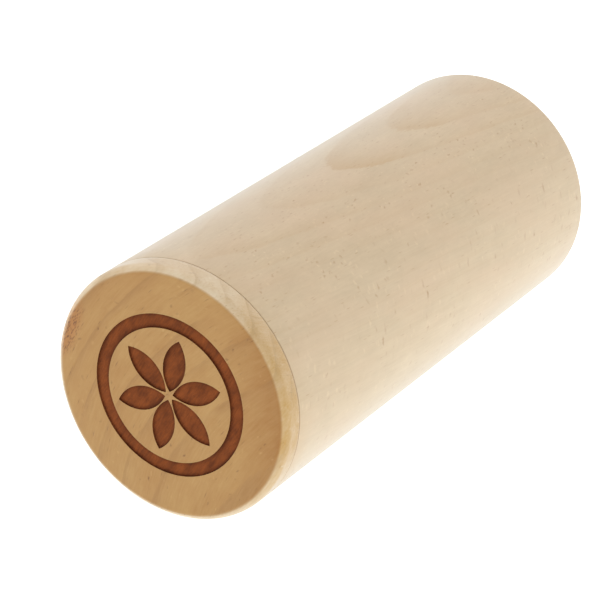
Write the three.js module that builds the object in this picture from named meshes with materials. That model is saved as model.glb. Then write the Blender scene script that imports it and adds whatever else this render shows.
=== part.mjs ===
// A turned wooden cylinder shaker, lying on its side: a blind-bored body, an end cap with a
// spigot that closes the bore, and a bed of loose steel shot on the floor of the chamber.
//
// Millimetres, +Z up. The cylinder's axis runs along Y, with the cap at -Y. The origin is on
// the surface that the shaker lies on, under the middle of its length.

import * as THREE from 'three';

// Driving dimensions.
const outerDiameter = 59;
const totalLength = 140;
const wallThickness = 6;
const blindEndThickness = 8;
const capHeadThickness = 5;
const spigotLength = 7;
const shotDiameter = 5;

// Details that are turned on the lathe.
const capRoundOver = 2;
const rearRoundOver = 1.5;
const boreFillet = 2;
const spigotChamfer = 0.8;

// The clearance between neighbouring pieces, which shows outside as the hairline seam.
const clearance = 0.3;

// The bed of shot: lanes side by side across the chamber floor, balls in a row along each
// lane, and how far each lane's row lies from the middle of the chamber.
const ballsPerLane = 11;
const laneOffsets = [-6, 9, 1, -11, 5];

// How finely round shapes are divided. The turned sides number a multiple of four, and one of
// them is centred underneath, so the shaker lies on a narrow flat.
const turnedSides = 96;
const roundOverSteps = 4;
const ballDetail = 1;

// Worked out from the dimensions above.
const outerRadius = outerDiameter / 2;
const boreRadius = outerRadius - wallThickness;
const spigotRadius = boreRadius - clearance;
const frontY = -totalLength / 2;
const rearY = totalLength / 2;
const capBackY = frontY + capHeadThickness;
const shellFrontY = capBackY + clearance;
const spigotEndY = capBackY + spigotLength;
const blindEndY = rearY - blindEndThickness;
const chamberMiddleY = (spigotEndY + blindEndY) / 2;

const shotRadius = shotDiameter / 2;
const shotPitch = shotDiameter + clearance;
const laneRadius = boreRadius - clearance - shotRadius;
const laneAngle = 2 * Math.asin(shotPitch / 2 / laneRadius);

const bodyWood = new THREE.MeshStandardMaterial({ color: 0xdcc6a2, roughness: 0.55, metalness: 0 });
const capWood = new THREE.MeshStandardMaterial({ color: 0xc39a6b, roughness: 0.6, metalness: 0 });
const shotSteel = new THREE.MeshStandardMaterial({ color: 0xb9bcc0, roughness: 0.3, metalness: 1 });

// A quarter round in a profile, as points from startAngle to endAngle about its centre.
// Angles are in quarter turns: 0 points away from the axis and 1 points along +Y.
function quarterRound(centreRadius, centreY, size, startAngle, endAngle) {
  const points = [];
  for (let step = 0; step <= roundOverSteps; step += 1) {
    const quarters = startAngle + ((endAngle - startAngle) * step) / roundOverSteps;
    const angle = (quarters * Math.PI) / 2;
    points.push([centreRadius + size * Math.cos(angle), centreY + size * Math.sin(angle)]);
  }
  return points;
}

// A solid turned about the Y axis from a profile of [radius, y] points, which starts and ends
// on the axis. Radii are measured across the flats of the turned sides.
function turned(profile) {
  const acrossCorners = 1 / Math.cos(Math.PI / turnedSides);
  const points = profile.map(([radius, y]) => new THREE.Vector2(radius * acrossCorners, y));
  return new THREE.LatheGeometry(points, turnedSides, Math.PI / turnedSides);
}

// The body: bored from the front, with a rounded corner at the foot of the bore, and a solid
// rear end with a softened outer edge.
function shellGeometry() {
  return turned([
    [0, blindEndY],
    ...quarterRound(boreRadius - boreFillet, blindEndY - boreFillet, boreFillet, 1, 0),
    [boreRadius, shellFrontY],
    [outerRadius, shellFrontY],
    ...quarterRound(outerRadius - rearRoundOver, rearY - rearRoundOver, rearRoundOver, 0, 1),
    [0, rearY],
  ]);
}

// The cap: a disc as wide as the body with a rounded front edge, and behind it a spigot that
// fits in the mouth of the bore.
function capGeometry() {
  return turned([
    [0, frontY],
    ...quarterRound(outerRadius - capRoundOver, frontY + capRoundOver, capRoundOver, -1, 0),
    [outerRadius, capBackY],
    [spigotRadius, capBackY],
    [spigotRadius, spigotEndY - spigotChamfer],
    [spigotRadius - spigotChamfer, spigotEndY],
    [0, spigotEndY],
  ]);
}

function namedMesh(name, geometry, material) {
  const mesh = new THREE.Mesh(geometry, material);
  mesh.name = name;
  return mesh;
}

// One lane of shot: a row of balls that touch the chamber floor at the same angle from its
// lowest line.
function laneOfShot(lane) {
  const row = new THREE.Group();
  const angle = (lane - (laneOffsets.length - 1) / 2) * laneAngle;
  const firstY = -((ballsPerLane - 1) * shotPitch) / 2;
  for (let ball = 0; ball < ballsPerLane; ball += 1) {
    const geometry = new THREE.IcosahedronGeometry(shotRadius, ballDetail);
    const number = String(ball + 1).padStart(2, '0');
    const mesh = namedMesh(`shot_lane${lane + 1}_ball${number}`, geometry, shotSteel.clone());
    mesh.position.y = firstY + ball * shotPitch;
    row.add(mesh);
  }
  row.position.x = laneRadius * Math.sin(angle);
  row.position.y = chamberMiddleY + laneOffsets[lane];
  row.position.z = -laneRadius * Math.cos(angle);
  return row;
}

const shaker = new THREE.Group();
shaker.position.z = outerRadius;
shaker.add(namedMesh('shell', shellGeometry(), bodyWood));
shaker.add(namedMesh('front_cap', capGeometry(), capWood));
for (let lane = 0; lane < laneOffsets.length; lane += 1) {
  shaker.add(laneOfShot(lane));
}

export default shaker;
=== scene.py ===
import math

import bmesh
import bpy
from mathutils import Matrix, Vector, noise


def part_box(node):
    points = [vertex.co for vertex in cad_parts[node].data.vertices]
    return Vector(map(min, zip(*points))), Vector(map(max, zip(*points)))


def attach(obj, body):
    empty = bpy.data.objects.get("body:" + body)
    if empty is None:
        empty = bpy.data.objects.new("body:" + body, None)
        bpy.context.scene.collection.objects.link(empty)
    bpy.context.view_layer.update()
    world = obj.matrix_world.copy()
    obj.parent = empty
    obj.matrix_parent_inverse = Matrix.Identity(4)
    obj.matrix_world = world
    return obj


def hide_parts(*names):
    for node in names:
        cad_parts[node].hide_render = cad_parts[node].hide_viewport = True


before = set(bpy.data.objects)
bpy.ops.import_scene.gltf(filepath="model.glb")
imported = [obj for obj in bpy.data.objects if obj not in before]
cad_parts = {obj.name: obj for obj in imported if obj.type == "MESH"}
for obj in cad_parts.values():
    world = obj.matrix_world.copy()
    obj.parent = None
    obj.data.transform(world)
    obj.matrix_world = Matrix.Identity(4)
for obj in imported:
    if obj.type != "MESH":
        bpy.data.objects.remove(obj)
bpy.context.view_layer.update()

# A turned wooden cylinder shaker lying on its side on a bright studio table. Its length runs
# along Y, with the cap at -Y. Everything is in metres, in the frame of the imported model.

MM = 0.001


# ---------------------------------------------------------------- sizes

shell_low, shell_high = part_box("shell")
cap_low, cap_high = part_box("front_cap")

OUTER_RADIUS = (shell_high.x - shell_low.x) / 2
AXIS_HEIGHT = (shell_high.z + shell_low.z) / 2
FRONT_Y = cap_low.y
REAR_Y = shell_high.y
SHELL_FRONT_Y = shell_low.y
SPIGOT_END_Y = cap_high.y

CLEARANCE = 0.3 * MM
SEAM_GAP = 0.15 * MM
BORE_RADIUS = OUTER_RADIUS - 6 * MM
SPIGOT_RADIUS = BORE_RADIUS - CLEARANCE
CAP_BACK_Y = SHELL_FRONT_Y - SEAM_GAP
BLIND_END_Y = REAR_Y - 8 * MM

CAP_ROUND_OVER = 2 * MM
REAR_ROUND_OVER = 1.5 * MM
BORE_FILLET = 2 * MM
SEAM_SOFTENING = 0.15 * MM
SPIGOT_CHAMFER = 0.8 * MM
FACE_RADIUS = OUTER_RADIUS - CAP_ROUND_OVER

TURNED_SIDES = 288


# ---------------------------------------------------------------- turned shapes

def quarter_round(centre_radius, centre_y, size, start, end, steps=10):
    """Points of a quarter round in a profile. 0 points away from the axis, 1 along +Y."""
    points = []
    for step in range(steps + 1):
        angle = math.pi / 2 * (start + (end - start) * step / steps)
        points.append((centre_radius + size * math.cos(angle), centre_y + size * math.sin(angle)))
    return points


def straight(start, end, steps):
    """Points between two profile points, without the two themselves."""
    return [
        tuple(a + (b - a) * step / steps for a, b in zip(start, end))
        for step in range(1, steps)
    ]


def on_circle(radius, y, number):
    """A point of a turned circle about the cylinder's axis."""
    angle = 2 * math.pi * number / TURNED_SIDES
    return Vector((radius * math.sin(angle), y, AXIS_HEIGHT + radius * math.cos(angle)))


def turn(bm, profile):
    """Turns an open profile of (radius, y) points into rings of faces, and returns the rings."""
    rings = [
        [bm.verts.new(on_circle(radius, y, number)) for number in range(TURNED_SIDES)]
        for radius, y in profile
    ]
    for near, far in zip(rings, rings[1:]):
        for number in range(TURNED_SIDES):
            after = (number + 1) % TURNED_SIDES
            bm.faces.new((near[number], near[after], far[after], far[number]))
    return rings


def finished(bm, name, materials, sharp_degrees=30):
    """Makes the object of a closed bmesh, smooth except along its sharp edges."""
    bmesh.ops.recalc_face_normals(bm, faces=bm.faces)
    mesh = bpy.data.meshes.new(name)
    bm.to_mesh(mesh)
    bm.free()
    for material in materials:
        mesh.materials.append(material)
    mesh.polygons.foreach_set("use_smooth", [True] * len(mesh.polygons))
    mesh.set_sharp_from_angle(angle=math.radians(sharp_degrees))
    made = bpy.data.objects.new(name, mesh)
    bpy.context.scene.collection.objects.link(made)
    return made


def make_shell(material):
    """The body: bored from the front, blind at the rear, with its outer rear edge softened."""
    bore_foot = quarter_round(BORE_RADIUS - BORE_FILLET, BLIND_END_Y - BORE_FILLET, BORE_FILLET, 1, 0)
    mouth = (BORE_RADIUS, SHELL_FRONT_Y)
    front_edge = quarter_round(
        OUTER_RADIUS - SEAM_SOFTENING, SHELL_FRONT_Y + SEAM_SOFTENING, SEAM_SOFTENING, -1, 0, steps=3
    )
    rear_edge = quarter_round(
        OUTER_RADIUS - REAR_ROUND_OVER, REAR_Y - REAR_ROUND_OVER, REAR_ROUND_OVER, 0, 1
    )
    profile = [
        *bore_foot,
        *straight(bore_foot[-1], mouth, 20),
        mouth,
        *front_edge,
        *straight(front_edge[-1], rear_edge[0], 24),
        *rear_edge,
    ]
    bm = bmesh.new()
    rings = turn(bm, profile)
    bm.faces.new(rings[0])
    bm.faces.new(rings[-1])
    return finished(bm, "turned_shell", [material])


# ---------------------------------------------------------------- the ornament on the cap

# A compass-drawn rosette in a ring, burnt a little way into the face. Outlines are taken at
# an inset: first the edge of the recess, then the foot of its sloping wall, and then the
# inner edge of the band along the wall that is made darkest.
RECESS_DEPTH = 0.35 * MM
RECESS_SLOPE = 0.12 * MM
DARK_EDGE_WIDTH = 0.9 * MM
RING_OUTSIDE = 18.8 * MM
RING_INSIDE = 15.6 * MM
PETALS = 6
PETAL_START = 1.0 * MM
PETAL_END = 13.8 * MM
PETAL_WIDTH = 5.6 * MM
ORNAMENT_TURN = math.radians(12)


def circle_outline(radius):
    """A circle about the middle of the face, as (across, up) points."""
    angles = [2 * math.pi * step / TURNED_SIDES for step in range(TURNED_SIDES)]
    return [(radius * math.sin(angle), radius * math.cos(angle)) for angle in angles]


def petal_outline(petal, inset):
    """A pointed petal between two arcs, both drawn in by the inset."""
    length = PETAL_END - PETAL_START
    arc_radius = (length**2 / 4 + PETAL_WIDTH**2 / 4) / PETAL_WIDTH
    arc_offset = arc_radius - PETAL_WIDTH / 2
    radius = arc_radius - inset
    reach = math.acos(arc_offset / radius)
    middle = (PETAL_START + PETAL_END) / 2
    turned_by = ORNAMENT_TURN + 2 * math.pi * petal / PETALS
    steps = 28
    points = []
    for side in (1, -1):
        for step in range(steps):
            angle = reach * (1 - 2 * step / steps)
            across = side * (radius * math.cos(angle) - arc_offset)
            along = middle + side * radius * math.sin(angle)
            points.append(
                (
                    across * math.cos(turned_by) + along * math.sin(turned_by),
                    along * math.cos(turned_by) - across * math.sin(turned_by),
                )
            )
    return points


def loop_of(bm, outline, y, edge_darkening=1.0):
    """A closed loop of edges at depth y on the face. Returns its vertices."""
    darkening_layer = bm.verts.layers.float["edge_darkening"]
    verts = [bm.verts.new((across, y, AXIS_HEIGHT + up)) for across, up in outline]
    for vert in verts:
        vert[darkening_layer] = edge_darkening
    for near, far in zip(verts, verts[1:] + verts[:1]):
        bm.edges.new((near, far))
    return verts


def edges_of(verts):
    """The edges of a closed loop of vertices."""
    pairs = zip(verts, verts[1:] + verts[:1])
    return [edge for near, far in pairs for edge in near.link_edges if edge in far.link_edges]


def fill(bm, loops, material_index):
    """Fills the flat region between the first loop and the loops inside it."""
    edges = [edge for loop in loops for edge in edges_of(loop)]
    made = bmesh.ops.triangle_fill(bm, edges=edges, use_beauty=True, use_dissolve=False)
    for face in made["geom"]:
        if isinstance(face, bmesh.types.BMFace):
            face.material_index = material_index


def band_between(bm, outer, inner):
    """A burnt band of faces between two loops with the same number of points."""
    for number in range(len(outer)):
        after = (number + 1) % len(outer)
        face = bm.faces.new((outer[number], outer[after], inner[after], inner[number]))
        face.material_index = 1


def engrave_face(bm, face_edge):
    """Fills the cap's flat face with the ornament recessed into it."""
    floor_y = FRONT_Y + RECESS_DEPTH
    insets = (0, RECESS_SLOPE, DARK_EDGE_WIDTH)
    shapes = [
        [circle_outline(RING_OUTSIDE - inset) for inset in insets],
        [circle_outline(RING_INSIDE + inset) for inset in insets],
    ]
    shapes += [[petal_outline(petal, inset) for inset in insets] for petal in range(PETALS)]
    tops = []
    floors = []
    for at_top, at_foot, past_dark_edge in shapes:
        top = loop_of(bm, at_top, FRONT_Y)
        foot = loop_of(bm, at_foot, floor_y)
        inner = loop_of(bm, past_dark_edge, floor_y, edge_darkening=0.0)
        band_between(bm, top, foot)
        band_between(bm, foot, inner)
        tops.append(top)
        floors.append(inner)
    fill(bm, [face_edge, tops[0]], 0)
    fill(bm, tops[1:], 0)
    fill(bm, floors[:2], 1)
    for petal_floor in floors[2:]:
        bm.faces.new(petal_floor).material_index = 1


def make_cap(plain, burnt):
    """The cap: a rounded disc with the ornament on its face and a spigot behind."""
    front_edge = quarter_round(FACE_RADIUS, FRONT_Y + CAP_ROUND_OVER, CAP_ROUND_OVER, -1, 0, steps=14)
    back_edge = quarter_round(
        OUTER_RADIUS - SEAM_SOFTENING, CAP_BACK_Y - SEAM_SOFTENING, SEAM_SOFTENING, 0, 1, steps=3
    )
    profile = [
        *front_edge,
        *straight(front_edge[-1], back_edge[0], 4),
        *back_edge,
        (SPIGOT_RADIUS, CAP_BACK_Y),
        (SPIGOT_RADIUS, SPIGOT_END_Y - SPIGOT_CHAMFER),
        (SPIGOT_RADIUS - SPIGOT_CHAMFER, SPIGOT_END_Y),
    ]
    bm = bmesh.new()
    bm.verts.layers.float.new("edge_darkening")
    rings = turn(bm, profile)
    bm.faces.new(rings[-1])
    engrave_face(bm, rings[0])
    return finished(bm, "turned_cap", [plain, burnt])


# ---------------------------------------------------------------- the shot

DENT_DEPTH = 0.04 * MM
DENT_SIZE = 1.1 * MM
NOISE_STEP = 7.3


def make_ball(node, number, material):
    """One steel ball, a little uneven from tumbling."""
    low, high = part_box(node)
    centre = (low + high) / 2
    radius = (high.x - low.x) / 2
    bm = bmesh.new()
    bmesh.ops.create_icosphere(bm, subdivisions=4, radius=radius)
    for vert in bm.verts:
        place = vert.co / DENT_SIZE + Vector((NOISE_STEP * number, 0, 0))
        vert.co *= 1 - DENT_DEPTH / radius * max(0, noise.noise(place))
        vert.co += centre
    return finished(bm, f"{node}_polished", [material], sharp_degrees=180)


# ---------------------------------------------------------------- shader helpers

def new_material(name):
    """A new material, its node tree, and the surface node in it."""
    material = bpy.data.materials.new(name)
    material.use_nodes = True
    tree = material.node_tree
    return material, tree, tree.nodes["Principled BSDF"]


def add(tree, kind, inputs, **settings):
    """Adds a shader node. Each input is a constant or another node's output."""
    node = tree.nodes.new("ShaderNode" + kind)
    for name, value in settings.items():
        setattr(node, name, value)
    for key, value in inputs.items():
        if isinstance(value, bpy.types.NodeSocket):
            tree.links.new(value, node.inputs[key])
        else:
            node.inputs[key].default_value = value
    return node


def calculate(tree, operation, *values):
    """The result of a math operation on numbers."""
    return add(tree, "Math", dict(enumerate(values)), operation=operation).outputs[0]


def vector(tree, operation, *values):
    """The result of a math operation on vectors."""
    return add(tree, "VectorMath", dict(enumerate(values)), operation=operation).outputs[0]


def dot(tree, one, other):
    """How far one vector reaches along another."""
    return add(tree, "VectorMath", {0: one, 1: other}, operation="DOT_PRODUCT").outputs["Value"]


def add_up(tree, *values):
    """The sum of all the values."""
    total = values[0]
    for value in values[1:]:
        total = calculate(tree, "ADD", total, value)
    return total


def scaled_by(tree, value, factor):
    return calculate(tree, "MULTIPLY", value, factor)


def clamped(tree, value):
    """The value, kept from 0 to 1."""
    return add(tree, "Clamp", {0: value}).outputs[0]


def soft_step(tree, value, low, high, to_low=0.0, to_high=1.0):
    """Goes smoothly from to_low to to_high as value goes from low to high."""
    inputs = {"Value": value, "From Min": low, "From Max": high, "To Min": to_low, "To Max": to_high}
    return add(tree, "MapRange", inputs, interpolation_type="SMOOTHSTEP").outputs["Result"]


def mix_colours(tree, share, near, far):
    """Goes from the near colour to the far one as share goes from 0 to 1."""
    return add(tree, "Mix", {0: share, 6: near, 7: far}, data_type="RGBA").outputs[2]


def place_on(tree, origin=(0, 0, 0), turned_by=(0, 0, 0)):
    """Where a point of the object lies, in millimetres from origin, in axes turned by an angle
    about each of X, Y and Z."""
    spot = add(tree, "TexCoord", {}).outputs["Object"]
    inputs = {"Vector": spot, "Location": origin, "Rotation": turned_by, "Scale": (MM, MM, MM)}
    return add(tree, "Mapping", inputs, vector_type="TEXTURE").outputs[0]


def noise_at(tree, place, size, detail=2.0, roughness=0.5):
    """A noise node. Size is in millimetres, along the three axes of place."""
    scaled = vector(tree, "DIVIDE", place, size)
    return add(
        tree, "TexNoise", {"Vector": scaled, "Scale": 1.0, "Detail": detail, "Roughness": roughness}
    )


def stretched_noise(tree, place, across, along, detail=2.0, roughness=0.5):
    """Noise about 0, drawn out along the grain. Sizes are in millimetres."""
    value = noise_at(tree, place, (across, along, across), detail, roughness).outputs["Fac"]
    return calculate(tree, "SUBTRACT", value, 0.5)


def dashes(tree, place, size, share, spread=0.45):
    """Scattered short marks, each with its own strength, up to 1 in its middle. Size is in
    millimetres, along the three axes of place, and share is how many cells hold a mark."""
    scaled = vector(tree, "DIVIDE", place, size)
    cells = add(tree, "TexVoronoi", {"Vector": scaled, "Scale": 1.0}, feature="F1")
    chance = add(tree, "SeparateColor", {0: cells.outputs["Color"]}).outputs["Red"]
    strength = calculate(tree, "SUBTRACT", share, chance)
    strength = calculate(tree, "MAXIMUM", calculate(tree, "DIVIDE", strength, share), 0.0)
    near = soft_step(tree, cells.outputs["Distance"], spread, 0.0)
    return calculate(tree, "MULTIPLY", strength, near)


def raise_surface(tree, surface, height, strength, distance):
    """Gives a surface fine relief that follows height."""
    inputs = {"Height": height, "Strength": strength, "Distance": distance}
    tree.links.new(add(tree, "Bump", inputs).outputs[0], surface.inputs["Normal"])


# ---------------------------------------------------------------- wood

# Sizes in millimetres: across the grain, along it, and across it the other way.
WANDER_SIZE = (26, 60, 26)
VESSEL_SIZE = (0.36, 2.8, 0.36)
PATCH_PORE_SIZE = (0.26, 1.1, 0.26)

# Sizes of the rays in millimetres: round the rings, outwards from the pith, and along the grain.
# The pale flecks use the same pattern as the dark ones, shifted so that they fall elsewhere.
RAY_SIZE = (0.7, 3.6, 1.5)
PALE_RAY_SIZE = (0.8, 2.4, 1.3)
PALE_RAY_SHIFT = (31.7, 0, 0)
RAY_CROOK_SIZE = (1.2, 2.0, 1.2)
RAY_CROOK_REACH = (1.0, 2.0, 1.0)

# How far the patch of dark pores reaches, in millimetres: over the edge of the face, into the
# wood, and along the edge.
PATCH_REACH = (4.0, 2.5, 11.0)

# How squarely the surface faces the front, as the forward part of its normal, where the tint on
# the face ends and where it is full. The tint is partly oil and partly painted shade.
OIL_AND_SHADE_ENDS = -0.87
OIL_AND_SHADE_FULL = -0.998


def follow_grain(tree, pith, grain, look):
    """Where a point lies from the pith, in millimetres, with Y along the grain: first in wood
    grown evenly, and then in wood whose fibres wander."""
    turned_by = Vector((0, 1, 0)).rotation_difference(grain).to_euler()
    place = place_on(tree, pith, turned_by)
    if "bow" in look:
        along = add(tree, "SeparateXYZ", {0: place}).outputs["Y"]
        squared = calculate(tree, "MULTIPLY", along, along)
        place = vector(tree, "MULTIPLY_ADD", squared, look["bow"], place)
    wander = noise_at(tree, place, WANDER_SIZE, detail=3.0, roughness=0.6).outputs["Color"]
    wander = vector(tree, "SUBTRACT", wander, (0.5, 0.5, 0.5))
    wander = vector(tree, "MULTIPLY", wander, (look["wander"],) * 3)
    return place, vector(tree, "ADD", place, wander)


def polar_about_pith(tree, place):
    """How far out from the pith a point lies, how far along the grain, and the angle about it."""
    across_x, along, across_z = add(tree, "SeparateXYZ", {0: place}).outputs
    squared_x = calculate(tree, "MULTIPLY", across_x, across_x)
    squared_z = calculate(tree, "MULTIPLY", across_z, across_z)
    outwards = calculate(tree, "SQRT", calculate(tree, "ADD", squared_x, squared_z))
    around = calculate(tree, "ARCTAN2", across_z, across_x)
    return outwards, along, around


def figure_strength(tree, outwards, around, look):
    """How strongly the rings show in the figure, where the cut runs along them: fully about its
    middle line, less at its sides, and less again in the rings before and after the two that
    arch most plainly."""
    off_middle = calculate(tree, "ABSOLUTE", calculate(tree, "SUBTRACT", around, look["figure"]))
    width = look["figure_width"]
    first = look["first_arch"]
    last = look["last_arch"]
    by_angle = soft_step(tree, off_middle, width * 0.5, width * 1.5, 1.0, 0.4)
    from_first = soft_step(tree, outwards, first - 0.5, first, 0.35, 1.0)
    to_last = soft_step(tree, outwards, last, last + 0.5, 1.0, 0.45)
    return calculate(tree, "MULTIPLY", by_angle, calculate(tree, "MULTIPLY", from_first, to_last))


def late_wood(tree, place, outwards, around, end_grain, look):
    """The denser part of each growth ring: it deepens outwards and stops at the ring's edge. It
    comes and goes along the grain, and shows most in the figure and on end grain."""
    rings = calculate(tree, "FRACT", calculate(tree, "DIVIDE", outwards, look["ring"]))
    late = calculate(tree, "POWER", rings, look["ring_sharpness"])
    late = calculate(tree, "MULTIPLY", late, soft_step(tree, rings, 1.0, 0.95))
    patches = stretched_noise(tree, place, 11, look["ring_patch"])
    shown = soft_step(tree, patches, -0.18, 0.12, look["ring_least"], 1.0)
    if "figure" in look:
        shown = calculate(tree, "MULTIPLY", shown, figure_strength(tree, outwards, around, look))
    shown = calculate(tree, "MAXIMUM", shown, scaled_by(tree, end_grain, 0.7))
    return calculate(tree, "MULTIPLY", late, shown)


def ray_flecks(tree, place, polar, look):
    """The rays where the cut shows them, as dark flecks and pale ones: slightly crooked, and more
    crowded in some places than in others."""
    crowded = soft_step(tree, stretched_noise(tree, place, 7, 12), -0.12, 0.14, 0.35, 1.4)
    crooked = noise_at(tree, polar, RAY_CROOK_SIZE, detail=1.0).outputs["Color"]
    crooked = vector(tree, "MULTIPLY_ADD", crooked, RAY_CROOK_REACH, polar)
    shifted = vector(tree, "ADD", crooked, PALE_RAY_SHIFT)
    dark = dashes(tree, crooked, RAY_SIZE, look["rays"])
    pale = dashes(tree, shifted, PALE_RAY_SIZE, look["rays"] * 1.5)
    return calculate(tree, "MULTIPLY", dark, crowded), calculate(tree, "MULTIPLY", pale, crowded)


def heart_shade(tree, look):
    """Extra tone on the side of the piece that was nearest the heart of the tree."""
    towards = dot(tree, place_on(tree, (0, 0, AXIS_HEIGHT)), look["heart_side"])
    return soft_step(tree, towards, look["heart_starts"], look["heart_full"], 0.0, look["heart_tone"])


def ground_tone(tree, place, bent, polar, streaks, end_grain, look):
    """How dark the wood is between its rings and marks: 0 is its light colour, 1 its dark one."""
    bands = stretched_noise(tree, bent, 3.5, 90, detail=1.0)
    side_grain = calculate(tree, "SUBTRACT", 1.0, end_grain)
    blotches = stretched_noise(tree, place, 4.5, 9, detail=3.5, roughness=0.75)
    blotches = calculate(tree, "MULTIPLY", blotches, side_grain)
    end_rays = stretched_noise(tree, polar, 0.3, 12, detail=3.0)
    end_rays = calculate(tree, "MULTIPLY", end_rays, end_grain)
    return add_up(
        tree,
        scaled_by(tree, streaks, look["streak_tone"]),
        scaled_by(tree, bands, look["band_tone"]),
        scaled_by(tree, blotches, look["blotch_tone"]),
        scaled_by(tree, end_rays, look["end_ray_tone"]),
        scaled_by(tree, end_grain, look["end_tone"]),
        look["tone"],
    )


def pore_patch(tree, bent, colour, look):
    """A stained spot at the edge of the face, where the vessels are crowded and dark."""
    away = place_on(tree, look["patch_place"], (0, -look["patch_angle"], 0))
    away = vector(tree, "DIVIDE", away, PATCH_REACH)
    away = add(tree, "VectorMath", {0: away}, operation="LENGTH").outputs["Value"]
    inside = soft_step(tree, away, 1.0, 0.3)
    colour = mix_colours(tree, scaled_by(tree, inside, 0.6), colour, look["stain_colour"])
    pores = dashes(tree, bent, PATCH_PORE_SIZE, 1.0, spread=0.6)
    pores = calculate(tree, "MINIMUM", scaled_by(tree, pores, 2.6), 0.85)
    return mix_colours(tree, calculate(tree, "MULTIPLY", pores, inside), colour, look["mark_colour"])


def oiled_and_shaded_face(tree, normal, colour, tint):
    """Tints the colour where the surface faces the front: partly as oil does, and partly as painted shade
    on a face that gets less light.
    """
    forwards = add(tree, "SeparateXYZ", {0: normal}).outputs["Y"]
    oil_and_shade = soft_step(tree, forwards, OIL_AND_SHADE_ENDS, OIL_AND_SHADE_FULL)
    tinted = {0: oil_and_shade, 6: colour, 7: tint}
    return add(tree, "Mix", tinted, data_type="RGBA", blend_type="MULTIPLY").outputs[2]


def wood(name, pith, grain, look):
    """Solid wood, seen wherever it's cut: growth rings about the pith line, rays running out
    from it, vessels along it, and fine fibre streaks. pith is a point on that line and grain
    is its direction."""
    material, tree, surface = new_material(name)
    place, bent = follow_grain(tree, pith, grain, look)
    outwards, along, around = polar_about_pith(tree, bent)
    arc = scaled_by(tree, around, look["ray_radius"])
    polar = add(tree, "CombineXYZ", {0: arc, 1: outwards, 2: along}).outputs[0]
    normal = add(tree, "NewGeometry", {}).outputs["Normal"]
    end_grain = soft_step(tree, calculate(tree, "ABSOLUTE", dot(tree, normal, grain)), 0.55, 1.0)

    streaks = stretched_noise(tree, bent, 0.45, look["streak_length"], detail=3.0, roughness=0.65)
    vessels = dashes(tree, bent, VESSEL_SIZE, look["vessels"])
    rays, pale_rays = ray_flecks(tree, place, polar, look)
    feathered = calculate(tree, "ADD", outwards, scaled_by(tree, streaks, 0.9))
    late = late_wood(tree, place, feathered, around, end_grain, look)

    tone = ground_tone(tree, place, bent, polar, streaks, end_grain, look)
    tone = calculate(tree, "ADD", tone, scaled_by(tree, pale_rays, -0.6))
    if "heart_side" in look:
        tone = calculate(tree, "ADD", tone, heart_shade(tree, look))
    colour = mix_colours(tree, clamped(tree, tone), look["light"], look["dark"])
    blush = stretched_noise(tree, place, 11, 22, detail=3.0)
    blush = soft_step(tree, blush, -0.15, 0.25, 0.0, look["blush"])
    colour = mix_colours(tree, blush, colour, look["blush_colour"])
    colour = mix_colours(tree, scaled_by(tree, late, look["ring_tone"]), colour, look["late_colour"])
    marks = add_up(
        tree, scaled_by(tree, rays, look["ray_tone"]), scaled_by(tree, vessels, look["vessel_tone"])
    )
    colour = mix_colours(tree, marks, colour, look["mark_colour"])
    if "patch_place" in look:
        colour = pore_patch(tree, bent, colour, look)
    # The front face is tinted darker: partly oil, partly painted shade.
    if "oil_and_shade" in look:
        colour = oiled_and_shaded_face(tree, normal, colour, look["oil_and_shade"])
    tree.links.new(colour, surface.inputs["Base Color"])

    rough = add_up(tree, scaled_by(tree, streaks, 0.25), scaled_by(tree, late, -0.06), look["roughness"])
    tree.links.new(rough, surface.inputs["Roughness"])
    surface.inputs["Specular IOR Level"].default_value = look["gloss"]
    surface.inputs["Sheen Weight"].default_value = look["sheen"]
    surface.inputs["Sheen Roughness"].default_value = look["sheen_roughness"]
    height = add_up(
        tree, scaled_by(tree, streaks, 0.6), scaled_by(tree, vessels, -1.0), scaled_by(tree, rays, -0.25)
    )
    raise_surface(tree, surface, height, 0.35, 0.06 * MM)
    return material


# ---------------------------------------------------------------- the look of each material

# A look holds colours, sizes in millimetres, and how strongly each feature shows. A tone of 0 is
# the light colour and a tone of 1 is the dark one. This is what both pieces have in common.
WOOD_LOOK = {
    "band_tone": 0.35,
    "blotch_tone": 0.7,
    "vessels": 0.1,
    "vessel_tone": 0.6,
    "ray_tone": 0.55,
    "roughness": 0.55,
    "gloss": 0.45,
    "sheen": 0.8,
    "sheen_roughness": 0.4,
}

# The body's figure: the pith lies above the turned surface and comes nearer to it towards the
# rear, so that the rings cut the top in arches that open rearwards.
FIGURE_ANGLE = math.radians(89)
PITH_DISTANCE = 89.8 * MM
PITH_SLOPE = -0.103
ARCH_Y = -4.5 * MM
FIGURE_DIRECTION = Vector((math.cos(FIGURE_ANGLE), 0, math.sin(FIGURE_ANGLE)))
BODY_PITH = Vector((0, ARCH_Y, AXIS_HEIGHT)) + FIGURE_DIRECTION * PITH_DISTANCE
BODY_GRAIN = (Vector((0, 1, 0)) + FIGURE_DIRECTION * PITH_SLOPE).normalized()

BODY_LOOK = {
    **WOOD_LOOK,
    "light": (0.725, 0.56, 0.365, 1),
    "dark": (0.54, 0.39, 0.235, 1),
    "tone": 0.3,
    "blush": 0.4,
    "blush_colour": (0.73, 0.51, 0.33, 1),
    "wander": 2.0,
    "streak_tone": 0.45,
    "streak_length": 16,
    "ring": 3.0,
    "ring_sharpness": 2.5,
    "ring_tone": 0.95,
    "ring_patch": 45,
    "ring_least": 0.3,
    "late_colour": (0.6, 0.395, 0.195, 1),
    "figure": FIGURE_ANGLE - math.pi,
    "figure_width": 0.19,
    "first_arch": 55.0,
    "last_arch": 60.5,
    "end_tone": 0.35,
    "end_ray_tone": 1.2,
    "rays": 0.3,
    "ray_radius": 75.0,
    "mark_colour": (0.42, 0.2, 0.07, 1),
}

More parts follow.
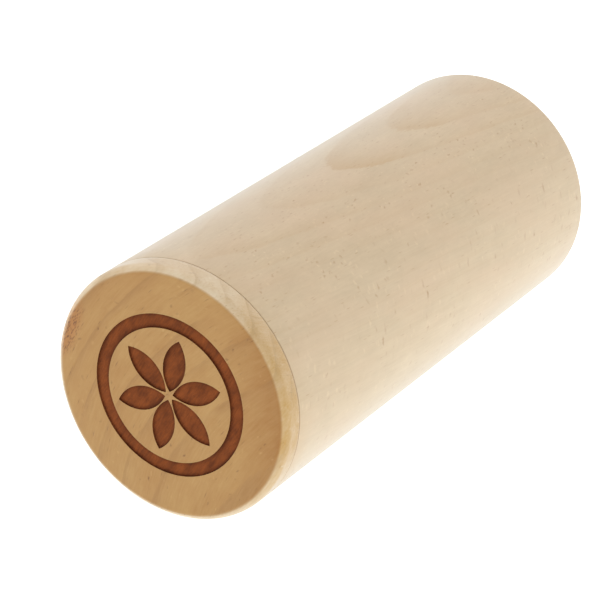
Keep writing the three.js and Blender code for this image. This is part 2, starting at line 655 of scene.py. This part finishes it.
# The cap is cut across a board, so its grain runs over the face. The tree was bowed: the grain
# is steep at the bottom of the face and leans over towards the top right.
CAP_GRAIN_ANGLE = math.radians(57)
CAP_BOW_RADIUS = 75
CAP_BOW = Vector((-math.sin(CAP_GRAIN_ANGLE), 0, math.cos(CAP_GRAIN_ANGLE))) / (2 * CAP_BOW_RADIUS)
CAP_GRAIN = Vector((math.cos(CAP_GRAIN_ANGLE), 0.05, math.sin(CAP_GRAIN_ANGLE))).normalized()
CAP_GRAIN_TURN = Vector((0, 1, 0)).rotation_difference(CAP_GRAIN).to_euler()
CAP_PITH = Vector((0.025, FRONT_Y + 0.05, AXIS_HEIGHT - 0.02))

# The wood is darker at the right of the face, on the side of the tree's heart.
HEART_ANGLE = math.radians(5)
HEART_SIDE = Vector((math.cos(HEART_ANGLE), 0, math.sin(HEART_ANGLE)))

# A patch of dark pores lies at the edge of the face.
PATCH_ANGLE = math.radians(159)
PATCH_RADIUS = FACE_RADIUS + 0.5 * MM
PATCH_DIRECTION = Vector((math.cos(PATCH_ANGLE), 0, math.sin(PATCH_ANGLE)))
PATCH_PLACE = Vector((0, FRONT_Y, AXIS_HEIGHT)) + PATCH_DIRECTION * PATCH_RADIUS

CAP_LOOK = {
    **WOOD_LOOK,
    "light": (0.82, 0.68, 0.5, 1),
    "dark": (0.54, 0.3, 0.065, 1),
    "tone": 0.25,
    "blush": 0.3,
    "blush_colour": (0.68, 0.46, 0.25, 1),
    "wander": 3.0,
    "bow": CAP_BOW,
    "streak_tone": 0.5,
    "streak_length": 7,
    "ring": 4.6,
    "ring_sharpness": 5.0,
    "ring_tone": 0.6,
    "ring_patch": 16,
    "ring_least": 0.0,
    "late_colour": (0.48, 0.3, 0.13, 1),
    "end_tone": 0.05,
    "end_ray_tone": 0.4,
    "rays": 0.07,
    "ray_radius": 60.0,
    "mark_colour": (0.22, 0.085, 0.006, 1),
    "heart_side": HEART_SIDE,
    "heart_starts": 14.0,
    "heart_full": 30.0,
    "heart_tone": 0.55,
    "patch_place": PATCH_PLACE,
    "patch_angle": PATCH_ANGLE,
    "stain_colour": (0.7, 0.36, 0.13, 1),
    # The front face's tint: partly oil, partly painted shade.
    "oil_and_shade": (0.64, 0.435, 0.185, 1),
}


def burnt_wood():
    """Wood scorched brown, mottled along the grain and darkest along the edges of the burn."""
    material, tree, surface = new_material("burnt_wood")
    place = place_on(tree, turned_by=CAP_GRAIN_TURN)
    streaks = stretched_noise(tree, place, 0.35, 2.5, detail=4.0, roughness=0.7)
    patches = stretched_noise(tree, place, 2.2, 5.0, detail=3.0)
    # Darker down the recess wall and across a narrow band at the edge of its floor.
    edge_darkening = add(tree, "Attribute", {}, attribute_name="edge_darkening").outputs["Fac"]
    tone = add_up(
        tree,
        scaled_by(tree, streaks, 1.3),
        scaled_by(tree, patches, 1.5),
        scaled_by(tree, edge_darkening, -0.45),
        0.6,
    )
    colour = mix_colours(tree, clamped(tree, tone), (0.1, 0.022, 0.004, 1), (0.275, 0.068, 0.014, 1))
    tree.links.new(colour, surface.inputs["Base Color"])
    rough = add_up(tree, scaled_by(tree, streaks, 0.3), 0.72)
    tree.links.new(rough, surface.inputs["Roughness"])
    surface.inputs["Specular IOR Level"].default_value = 0.15
    raise_surface(tree, surface, streaks, 0.6, 0.15 * MM)
    return material


def shot_steel():
    """Tumbled steel: bright, with faint scuffs and slightly duller patches."""
    material, tree, surface = new_material("shot_steel")
    place = place_on(tree)
    patches = stretched_noise(tree, place, 1.2, 1.2, detail=3.0)
    scuffs = dashes(tree, place, (0.15, 0.9, 0.15), 0.12)
    tone = clamped(tree, add_up(tree, patches, scaled_by(tree, scuffs, 0.3), 0.4))
    colour = mix_colours(tree, tone, (0.62, 0.63, 0.65, 1), (0.4, 0.4, 0.41, 1))
    tree.links.new(colour, surface.inputs["Base Color"])
    rough = add_up(tree, scaled_by(tree, patches, 0.3), scaled_by(tree, scuffs, 0.25), 0.24)
    tree.links.new(rough, surface.inputs["Roughness"])
    surface.inputs["Metallic"].default_value = 1.0
    raise_surface(tree, surface, scuffs, 0.3, 0.01 * MM)
    return material


# ---------------------------------------------------------------- the object

def put(piece, node, body):
    """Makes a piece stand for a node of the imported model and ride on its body."""
    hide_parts(node)
    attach(piece, body)


body_wood = wood("body_wood", BODY_PITH, BODY_GRAIN, BODY_LOOK)
cap_wood = wood("cap_wood", CAP_PITH, CAP_GRAIN, CAP_LOOK)
put(make_shell(body_wood), "shell", "shaker_body")
put(make_cap(cap_wood, burnt_wood()), "front_cap", "shaker_body")

steel = shot_steel()
shot_nodes = sorted(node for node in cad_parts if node.startswith("shot_"))
for ball_number, shot_node in enumerate(shot_nodes):
    put(make_ball(shot_node, ball_number, steel), shot_node, shot_node)


# ---------------------------------------------------------------- table, light and camera

TABLE_RADIUS = 4.0
SWEEP_HEIGHT = 0.8
TABLE_SIDES = 96
TABLE_GLOW = 0.985
ROOM_LIGHT = 0.5


def make_table():
    """A round white table whose edge sweeps up, bright enough to light the shaker from below."""
    sweep = quarter_round(TABLE_RADIUS - SWEEP_HEIGHT, SWEEP_HEIGHT, SWEEP_HEIGHT, -1, 0, steps=16)
    angles = [2 * math.pi * number / TABLE_SIDES for number in range(TABLE_SIDES)]
    bm = bmesh.new()
    rings = []
    for radius, height in [(TABLE_RADIUS / 8, 0.0), (TABLE_RADIUS / 3, 0.0), *sweep]:
        rings.append([bm.verts.new((radius * math.cos(a), radius * math.sin(a), height)) for a in angles])
    for near, far in zip(rings, rings[1:]):
        for number in range(TABLE_SIDES):
            after = (number + 1) % TABLE_SIDES
            bm.faces.new((near[number], far[number], far[after], near[after]))
    bm.faces.new(rings[0])
    material, _, surface = new_material("studio_white")
    surface.inputs["Base Color"].default_value = (0.4, 0.4, 0.4, 1)
    surface.inputs["Roughness"].default_value = 0.9
    surface.inputs["Specular IOR Level"].default_value = 0.1
    surface.inputs["Emission Color"].default_value = (0.96, 1, 0.98, 1)
    surface.inputs["Emission Strength"].default_value = TABLE_GLOW
    finished(bm, "studio_table", [material])


def make_softbox(name, place, size, power):
    """A large square light at place, turned to the shaker."""
    lamp = bpy.data.lights.new(name, "AREA")
    lamp.size = size
    lamp.energy = power
    box = bpy.data.objects.new(name, lamp)
    bpy.context.scene.collection.objects.link(box)
    box.location = place
    box.rotation_mode = "QUATERNION"
    box.rotation_quaternion = (Vector((0, 0, AXIS_HEIGHT)) - box.location).to_track_quat("-Z", "Y")


def make_light():
    """Soft white light from all round, with a softbox overhead and one beyond the rear right."""
    world = bpy.data.worlds.new("studio")
    bpy.context.scene.world = world
    world.use_nodes = True
    background = world.node_tree.nodes["Background"]
    background.inputs["Color"].default_value = (1, 1, 1, 1)
    background.inputs["Strength"].default_value = ROOM_LIGHT
    make_softbox("overhead", Vector((-0.75, 0.28, 1.55)), size=1.4, power=15.5)
    make_softbox("beyond_right", Vector((1.4, 0.9, 0.35)), size=1.2, power=4.0)


# Where the camera stands: how far the middle of the cap's face lies from it, ahead, to the right
# and above, all in outer radii of the shaker.
CAMERA_AZIMUTH = math.radians(31.54)
CAMERA_ELEVATION = math.radians(24.63)
CAMERA_LENS = 156.4
FACE_AHEAD = 18.791
FACE_RIGHT = -0.9457
FACE_ABOVE = -0.691


def make_camera():
    """The camera, aimed by its two angles and placed by where it sees the cap."""
    camera = bpy.data.objects.new("camera", bpy.data.cameras.new("camera"))
    bpy.context.scene.collection.objects.link(camera)
    bpy.context.scene.camera = camera
    camera.data.lens = CAMERA_LENS
    camera.data.sensor_width = 36
    level = math.cos(CAMERA_ELEVATION)
    ahead = Vector(
        (-math.sin(CAMERA_AZIMUTH) * level, math.cos(CAMERA_AZIMUTH) * level, -math.sin(CAMERA_ELEVATION))
    )
    right = Vector((math.cos(CAMERA_AZIMUTH), math.sin(CAMERA_AZIMUTH), 0))
    above = right.cross(ahead)
    face = Vector((0, FRONT_Y, AXIS_HEIGHT))
    offset = ahead * FACE_AHEAD + right * FACE_RIGHT + above * FACE_ABOVE
    camera.location = face - offset * OUTER_RADIUS
    camera.rotation_mode = "QUATERNION"
    camera.rotation_quaternion = ahead.to_track_quat("-Z", "Y")
    camera.data.clip_start = 0.01
    camera.data.clip_end = 20


make_table()
make_light()
make_camera()
bpy.context.scene.view_settings.view_transform = "Standard"
